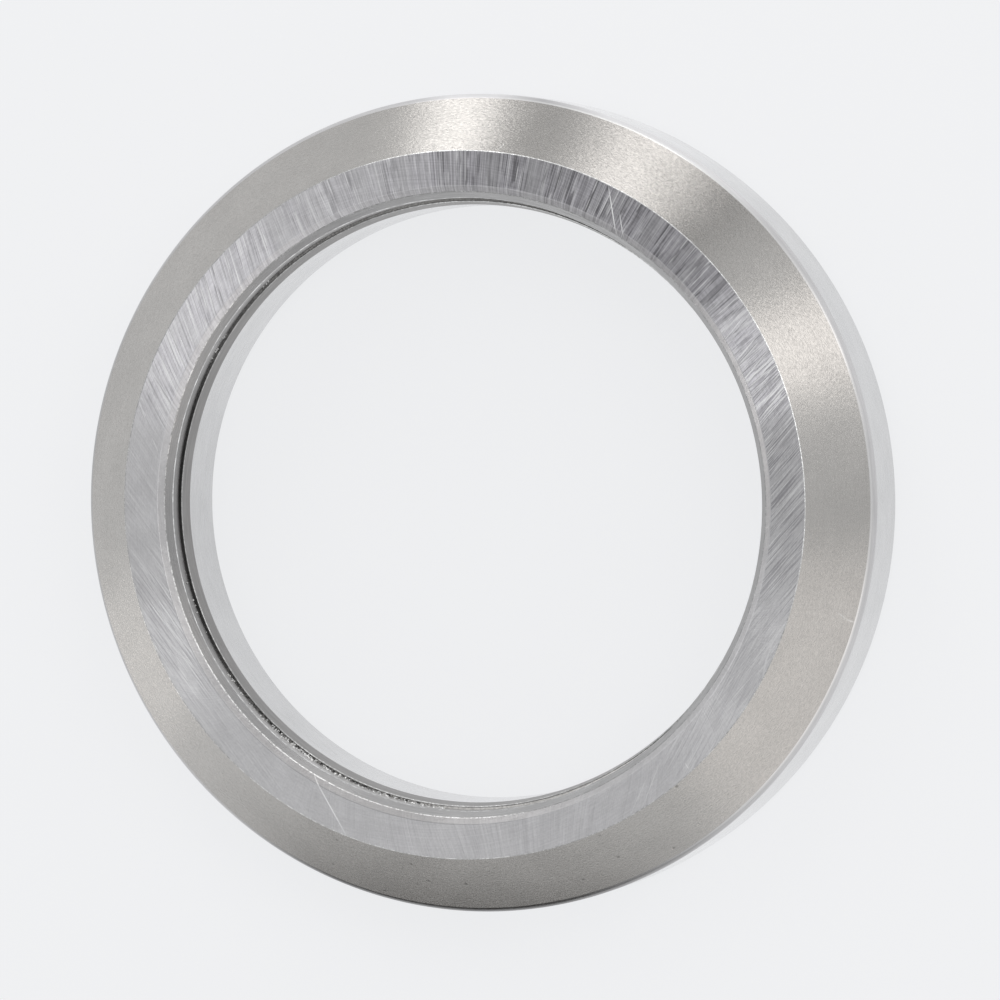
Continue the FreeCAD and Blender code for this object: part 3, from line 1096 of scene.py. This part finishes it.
@dataclass
class OuterRing:
    """The ring with the wide cone, the ground front face, the lip and the smooth outside."""

    outer_radius: float = 20.9
    width: float = 8.0
    cone_depth: float = 2.95
    cone_rounding: float = 0.8
    bevel_outside: float = 16.17
    bevel_inside: float = 15.87
    bevel_foot: float = 7.74
    chamfer_foot: float = 7.3
    lip_radius: float = 15.56
    lip_end: float = 6.3275
    lip_ramp: float = 0.33
    ceiling: float = 5.9975
    rear_setback: float = 0.4
    sleeve_radius: float = 20.0
    sleeve_top: float = 1.4725
    pitch_radius: float = 18.075
    pitch_height: float = 4.0
    groove_radius: float = 1.6275
    shoulder_angle: float = 60.0
    snap_angle: float = -15.0
    steps_round: int = 600

    def section(self) -> Section:
        """Draws the section.

        Returns:
            The section.
        """
        snap = self.pitch_radius + self.groove_radius * math.cos(math.radians(self.snap_angle))
        shoulder = self.pitch_radius + self.groove_radius * math.cos(math.radians(self.shoulder_angle))
        made = Section([
            Corner(self.outer_radius, self.rear_setback, Wall.CYLINDER, 0.25, Wall.CYLINDER),
            Corner(self.outer_radius, self.width - self.cone_depth, Wall.CONE, self.cone_rounding,
                   Wall.ROUNDING),
            Corner(self.outer_radius - self.cone_depth, self.width, Wall.FRONT_FLAT, 0.07),
            Corner(self.bevel_outside, self.width, Wall.BEVEL, 0.1, Wall.BEVEL),
            Corner(self.bevel_inside, self.bevel_foot, Wall.CHAMFER, 0.3, Wall.BEVEL_EDGE),
            Corner(self.lip_radius, self.chamfer_foot, Wall.LIP, 0.14, Wall.LIP_EDGE),
            Corner(self.lip_radius, self.lip_end, Wall.LIP, 0.03),
            Corner(self.lip_radius + self.lip_ramp, self.ceiling, Wall.RACE, 0.03, Wall.RACE),
            Corner(shoulder, self.ceiling, Wall.RACE, 0.3, Wall.RACE)])
        made.arc((self.pitch_radius, self.pitch_height), self.groove_radius, self.shoulder_angle,
                 self.snap_angle, Wall.RACE)
        made.corners += [
            Corner(snap, self.sleeve_top + self.sleeve_radius - snap, Wall.RACE, 0.03, Wall.RACE),
            Corner(self.sleeve_radius, self.sleeve_top, Wall.REAR, 0.03, Wall.RACE),
            Corner(self.sleeve_radius, self.rear_setback, Wall.REAR, 0.09)]
        return made

    def make(self, lathe: Lathe) -> bpy.types.Object:
        """Builds the ring and lets it stand for its node.

        Args:
            lathe: the tree that turns it.

        Returns:
            The ring.
        """
        made = lathe.turn("outer_ring_dressed", self.section(), self.steps_round)
        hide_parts("outer_ring")
        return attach(made, "outer")


@dataclass
class InnerRing:
    """The ring with the bore, its lead-in and thin nose, and the rear flange with the inner cone."""

    bore_radius: float = 15.25
    nose_radius: float = 15.44
    nose_land: float = 0.06
    nose_height: float = 6.3975
    nose_foot: float = 6.2075
    lead_in_end: float = 5.5175
    cone_depth: float = 1.89
    flange_radius: float = 19.88
    flange_edge: float = 1.3525
    flange_corner: float = 0.35
    flange_top: float = 1.7025
    pitch_radius: float = 18.075
    pitch_height: float = 4.0
    groove_radius: float = 1.6275
    shoulder_angle: float = 240.0
    snap_angle: float = 165.0
    steps_round: int = 540

    def section(self) -> Section:
        """Draws the section.

        Returns:
            The section.
        """
        snap = self.pitch_radius + self.groove_radius * math.cos(math.radians(self.snap_angle))
        shoulder = self.pitch_radius + self.groove_radius * math.cos(math.radians(self.shoulder_angle))
        made = Section([
            Corner(self.flange_radius, 0.0, Wall.REAR, 0.3, Wall.REAR),
            Corner(self.flange_radius, self.flange_edge, Wall.REAR, 0.04),
            Corner(self.flange_radius - self.flange_corner, self.flange_top, Wall.RACE, 0.03, Wall.RACE),
            Corner(shoulder, self.flange_top, Wall.RACE, 0.3, Wall.RACE)])
        made.arc((self.pitch_radius, self.pitch_height), self.groove_radius, self.shoulder_angle,
                 self.snap_angle, Wall.RACE)
        made.corners += [
            Corner(snap, self.nose_foot - (snap - self.nose_radius), Wall.LIP, 0.03, Wall.RACE),
            Corner(self.nose_radius, self.nose_foot, Wall.LIP, 0.03, Wall.LIP),
            Corner(self.nose_radius, self.nose_height, Wall.EDGE, 0.03),
            Corner(self.nose_radius - self.nose_land, self.nose_height, Wall.LEAD_IN, 0.03),
            Corner(self.bore_radius, self.lead_in_end, Wall.BORE, 0.05, Wall.LEAD_IN),
            Corner(self.bore_radius, self.cone_depth, Wall.REAR, 0.05),
            Corner(self.bore_radius + self.cone_depth, 0.0, Wall.REAR, 0.05)]
        return made

    def make(self, lathe: Lathe) -> bpy.types.Object:
        """Builds the ring and lets it stand for its node.

        Args:
            lathe: the tree that turns it.

        Returns:
            The ring.
        """
        made = lathe.turn("inner_ring_dressed", self.section(), self.steps_round)
        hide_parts("inner_ring")
        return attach(made, "inner")


@dataclass
class GapDustAndShade:
    """A thin ring against the lip in the gap's mouth, just clear of the inner ring's nose: grey dust where
    the gap is light, and painted shade, near black, where it is dark.
    """

    inside: float = 15.455
    outside: float = 15.563
    lowest: float = 6.335
    highest: float = 6.385
    steps_round: int = 540

    def make(self, lathe: Lathe) -> bpy.types.Object:
        """Builds the dust and its painted shade as one thin ring on the outer ring.

        Args:
            lathe: the tree that turns it.

        Returns:
            The ring of dust and painted shade.
        """
        made = lathe.turn("gap_dust_and_shade", Section([
            Corner(self.outside, self.lowest, Wall.DUST_AND_SHADE, 0.01, Wall.DUST_AND_SHADE),
            Corner(self.outside, self.highest, Wall.DUST_AND_SHADE, 0.01, Wall.DUST_AND_SHADE),
            Corner(self.inside, self.highest, Wall.DUST_AND_SHADE, 0.015, Wall.DUST_AND_SHADE),
            Corner(self.inside, self.lowest, Wall.DUST_AND_SHADE, 0.01, Wall.DUST_AND_SHADE)]), self.steps_round)
        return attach(made, "outer")


@dataclass(frozen=True)
class BurrBatch:
    """Some burrs in one sector, in degrees and millimetres."""

    first: float
    last: float
    count: int
    radius: float = 15.545
    lowest: float = 6.49
    highest: float = 6.85


@dataclass
class LipBurrs:
    """The small steel burrs that stand off the lip into the gap or lie on its dust."""

    batches: tuple[BurrBatch, ...] = (
        BurrBatch(133.0, 135.5, 6), BurrBatch(146.0, 152.5, 12), BurrBatch(184.0, 206.0, 9),
        BurrBatch(214.0, 228.0, 22), BurrBatch(228.0, 266.0, 130),
        BurrBatch(226.0, 262.0, 50, 15.52, 6.4, 6.45))
    size: tuple[float, float] = (0.022, 0.07)
    roughness: float = 0.9
    seed: int = 7

    def tree(self) -> bpy.types.NodeTree:
        """Builds the tree that puts a burr on each point.

        Returns:
            The tree.
        """
        tree = bpy.data.node_groups.new("lip_burrs", "GeometryNodeTree")
        graph = Graph(tree)
        tree.interface.new_socket("Places", in_out="INPUT", socket_type="NodeSocketGeometry")
        for name in ("Smallest", "Largest"):
            tree.interface.new_socket(name, in_out="INPUT", socket_type="NodeSocketFloat")
        tree.interface.new_socket("Seed", in_out="INPUT", socket_type="NodeSocketInt")
        tree.interface.new_socket("Finish", in_out="INPUT", socket_type="NodeSocketMaterial")
        tree.interface.new_socket("Burrs", in_out="OUTPUT", socket_type="NodeSocketGeometry")
        given = graph.node("NodeGroupInput").outputs
        chip = graph.node("GeometryNodeMeshIcoSphere", {"Radius": 1.0, "Subdivisions": 2}).outputs[0]
        place = graph.node("GeometryNodeInputPosition").outputs[0]
        lumps = graph.noise(place, 1.3, 1.0)
        swell = graph.math("MULTIPLY_ADD", lumps, self.roughness, -self.roughness / 2)
        shift = graph.scaled(place, swell)
        chip = graph.node("GeometryNodeSetPosition", {"Geometry": chip, "Offset": shift}).outputs[0]
        sizes = graph.node("FunctionNodeRandomValue", data_type="FLOAT")
        sockets = [socket for socket in sizes.inputs if socket.enabled]
        graph.feed(sockets[0], given["Smallest"])
        graph.feed(sockets[1], given["Largest"])
        graph.feed(sizes.inputs["Seed"], given["Seed"])
        scale = next(socket for socket in sizes.outputs if socket.enabled)
        turns = graph.node("FunctionNodeRandomValue", data_type="FLOAT_VECTOR")
        sockets = [socket for socket in turns.inputs if socket.enabled]
        graph.feed(sockets[1], (math.tau, math.tau, math.tau))
        graph.feed(turns.inputs["Seed"], given["Seed"])
        spin = next(socket for socket in turns.outputs if socket.enabled)
        values = {"Points": given["Places"], "Instance": chip, "Rotation": spin, "Scale": scale}
        spread = graph.node("GeometryNodeInstanceOnPoints", values).outputs[0]
        real = graph.node("GeometryNodeRealizeInstances", {0: spread}).outputs[0]
        values = {"Geometry": real, "Material": given["Finish"]}
        dressed = graph.node("GeometryNodeSetMaterial", values).outputs[0]
        graph.feed(graph.node("NodeGroupOutput").inputs[0], dressed)
        return tree

    def make(self) -> bpy.types.Object:
        """Builds the burrs.

        Returns:
            The burrs as one piece.
        """
        chance = random.Random(self.seed)
        places = []
        for batch in self.batches:
            for _ in range(batch.count):
                turn = math.radians(chance.uniform(batch.first, batch.last))
                rise = chance.uniform(batch.lowest, batch.highest)
                spot = (batch.radius * math.cos(turn), batch.radius * math.sin(turn), rise)
                places.append(tuple(part * MM for part in spot))
        mesh = bpy.data.meshes.new("lip_burr_places")
        mesh.from_pydata(places, [], [])
        holder = bpy.data.objects.new("lip_burr_places", mesh)
        bpy.context.scene.collection.objects.link(holder)
        modifier = holder.modifiers.new("burrs", "NODES")
        modifier.node_group = self.tree()
        values = {"Smallest": self.size[0] * MM, "Largest": self.size[1] * MM, "Seed": self.seed,
                  "Finish": FINISHES[Wall.EDGE].material()}
        made = plain_mesh(holder, modifier, values, "lip_burrs")
        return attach(made, "outer")


@dataclass
class CageAndBalls:
    """The hidden row: the CAD cage and balls, which keep their shapes and get their finishes."""

    nylon: Finish = MouldedNylon("moulded_nylon", (0.62, 0.58, 0.48), 0.5, 0.0)
    ball: Finish = PolishedBall("polished_ball", (0.78, 0.78, 0.79), 0.06)

    def dress(self, nodes: dict[str, bpy.types.Object]) -> None:
        """Gives each node its material.

        Args:
            nodes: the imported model's objects by name.
        """
        for name, piece in nodes.items():
            finish = self.nylon if name == "cage" else self.ball
            if name == "cage" or name.startswith("ball_"):
                piece.data.materials.clear()
                piece.data.materials.append(finish.material())


@dataclass(frozen=True)
class Softbox:
    """A soft lamp that faces the part."""

    name: str
    azimuth: float
    lowest: float
    highest: float
    breadth: float
    level: float
    colour: Colour = (1.0, 1.0, 1.0)
    distance: float = 0.42
    aim: tuple[float, float, float] = (0.0, 0.0, 0.007)

    def make(self) -> bpy.types.Object:
        """Places the lamp.

        Returns:
            The lamp.
        """
        middle = math.radians((self.lowest + self.highest) / 2)
        turn = math.radians(self.azimuth)
        data = bpy.data.lights.new(self.name, "AREA")
        data.shape = "RECTANGLE"
        data.size = 2 * self.distance * math.tan(math.radians(self.breadth / 2))
        data.size_y = 2 * self.distance * math.tan(math.radians((self.highest - self.lowest) / 2))
        data.color = self.colour
        data.energy = self.level * math.pi * data.size * data.size_y
        made = bpy.data.objects.new(self.name, data)
        out = math.cos(middle)
        toward = Vector((math.cos(turn) * out, math.sin(turn) * out, math.sin(middle)))
        made.matrix_world = (Matrix.Translation(toward * self.distance + Vector(self.aim))
                             @ toward.to_track_quat("Z", "Y").to_matrix().to_4x4())
        made.visible_camera = False
        bpy.context.scene.collection.objects.link(made)
        return made


@dataclass(frozen=True)
class Card:
    """A curved dark card on the floor round the part, soft at its ends and its top edge.

    Only reflections see it: it is hidden from the camera, from diffuse light and from shadow.
    """

    name: str
    distance: float
    height: float
    cover: Stops
    colour: Colour = (0.08, 0.072, 0.066)
    soft_from: float = 0.7
    first: float = 200.0
    last: float = 325.0
    pieces: int = 50

    def mesh(self) -> tuple[list[tuple[float, float, float]], list[tuple[int, ...]]]:
        """Returns the card's corners in metres and its faces."""
        corners = []
        for step in range(self.pieces + 1):
            turn = math.radians(self.first + (self.last - self.first) * step / self.pieces)
            spot = (self.distance * math.cos(turn), self.distance * math.sin(turn))
            corners += [(*spot, 0.0), (*spot, self.height)]
        faces = [(2 * step, 2 * step + 2, 2 * step + 3, 2 * step + 1) for step in range(self.pieces)]
        return corners, faces

    def material(self) -> bpy.types.Material:
        """Builds the card's material, clear where the card doesn't cover.

        Returns:
            The material.
        """
        made = bpy.data.materials.new(self.name)
        made.use_nodes = True
        graph = Graph(made.node_tree)
        made.node_tree.nodes.remove(made.node_tree.nodes["Principled BSDF"])
        place = Place.of(graph)
        top = graph.between(place.height, self.soft_from * self.height, self.height, 1.0, 0.0)
        cover = graph.math("MULTIPLY", graph.round_ring(place.bearing, self.cover), top)
        clear = graph.node("ShaderNodeBsdfTransparent").outputs[0]
        matt = graph.node("ShaderNodeBsdfDiffuse", ((*self.colour, 1.0),)).outputs[0]
        both = graph.node("ShaderNodeMixShader", (cover, clear, matt)).outputs[0]
        graph.feed(made.node_tree.nodes["Material Output"].inputs[0], both)
        return made


@dataclass
class Studio:
    """The plain pale floor and backdrop, the soft lamps and the dark cards."""

    backdrop: Colour = (0.66, 0.665, 0.675)
    floor_reach: float = 4.0
    lamps: tuple[Softbox, ...] = (
        Softbox("softbox_left", 107.5, -1.0, 34.0, 12.0, 2.3, (1.0, 0.98, 0.965)),
        Softbox("softbox_back", 75.5, -1.0, 30.0, 15.0, 1.55, (1.0, 0.97, 0.95)),
        Softbox("softbox_right", 30.0, -1.0, 34.0, 17.0, 1.0, (1.0, 0.95, 0.91)),
        Softbox("high_right", 27.0, 38.0, 66.0, 26.0, 1.6),
        Softbox("high_left", 116.0, 36.0, 60.0, 18.0, 1.2),
        Softbox("fill_front", 324.0, 0.0, 24.0, 50.0, 0.54, (1.0, 0.93, 0.88)),
        Softbox("fill_low", 200.0, 0.0, 12.0, 17.0, 2.25, (1.0, 0.96, 0.92)))
    cards: tuple[Card, ...] = (
        Card("near_card", 0.0305, 0.0063, ((0, 0), (222, 0), (232, 0.3), (243, 0.75), (256, 1), (278, 1),
                                          (288, 0.7), (297, 0.3), (306, 0), (360, 0))),
        Card("far_card", 0.3, 0.14, ((0, 0), (212, 0), (234, 0.08), (250, 0.12), (265, 0.12),
                                     (280, 0.06), (298, 0), (360, 0))),
        Card("gap_card", 0.3, 0.19, ((0, 0), (54, 0), (58.5, 0.75), (62, 0.75), (66, 0), (89, 0), (93, 0.75),
                                     (95.5, 0.75), (99, 0), (360, 0)), first=50.0, last=104.0))

    def make(self) -> None:
        """Builds the world, the floor, the lamps and the cards."""
        world = bpy.data.worlds.new("pale_backdrop")
        world.use_nodes = True
        world.node_tree.nodes["Background"].inputs[0].default_value = (*self.backdrop, 1.0)
        world.node_tree.nodes["Background"].inputs[1].default_value = 1.0
        bpy.context.scene.world = world
        reach = self.floor_reach
        corners = [(-reach, -reach, 0.0), (reach, -reach, 0.0), (reach, reach, 0.0), (-reach, reach, 0.0)]
        self.staged("studio_floor", corners, [(0, 1, 2, 3)], PaleFloor().material())
        for lamp in self.lamps:
            lamp.make()
        for card in self.cards:
            made = self.staged(card.name, *card.mesh(), card.material())
            made.visible_camera = False
            made.visible_diffuse = False
            made.visible_shadow = False

    def staged(self, name: str, corners: list[tuple[float, float, float]], faces: list[tuple[int, ...]],
               material: bpy.types.Material) -> bpy.types.Object:
        """Makes one stage piece.

        Args:
            name: its name.
            corners: its corners in metres.
            faces: its faces by corner.
            material: its material.

        Returns:
            The piece.
        """
        mesh = bpy.data.meshes.new(name)
        mesh.from_pydata(corners, [], faces)
        mesh.materials.append(material)
        made = bpy.data.objects.new(name, mesh)
        bpy.context.scene.collection.objects.link(made)
        return made


@dataclass
class PhotoCamera:
    """The camera at the photograph's viewing angle, in the part's own frame."""

    right: Colour = (0.96110, 0.0, -0.27621)
    ahead: Colour = (-0.27608, -0.03032, -0.96066)
    front_centre: Colour = (-2.037, -0.265, 331.611)
    front_height: float = 8.0
    lens: float = 235.84
    sensor: float = 36.0

    def make(self) -> None:
        """Places the camera so that the front face's centre falls where the photograph has it."""
        ahead = Vector(self.ahead).normalized()
        right = Vector(self.right)
        right = (right - ahead * right.dot(ahead)).normalized()
        upward = right.cross(ahead)
        across, rise, depth = self.front_centre
        spot = Vector((0, 0, self.front_height)) - right * across - upward * rise - ahead * depth
        data = bpy.data.cameras.new("photo_camera")
        data.lens = self.lens
        data.sensor_width = self.sensor
        data.clip_start = 0.01
        made = bpy.data.objects.new("photo_camera", data)
        turned = Matrix((right, upward, -ahead)).transposed().to_4x4()
        made.matrix_world = Matrix.Translation(spot * MM) @ turned
        bpy.context.scene.collection.objects.link(made)
        bpy.context.scene.camera = made


def main() -> None:
    """Builds the camera, the studio and each sub-assembly in order."""
    logging.basicConfig(level=logging.INFO, format="%(message)s")
    bpy.context.scene.view_settings.view_transform = "Standard"
    PhotoCamera().make()
    Studio().make()
    lathe = Lathe()
    for piece in (OuterRing().make(lathe), InnerRing().make(lathe), GapDustAndShade().make(lathe),
                  LipBurrs().make()):
        shown = piece.data
        LOG.info("%s: %d faces, %d materials", piece.name, len(shown.polygons), len(shown.materials))
    CageAndBalls().dress(frame["nodes"])
    LOG.info("cage and balls dressed")


if __name__ == "__main__":
    main()
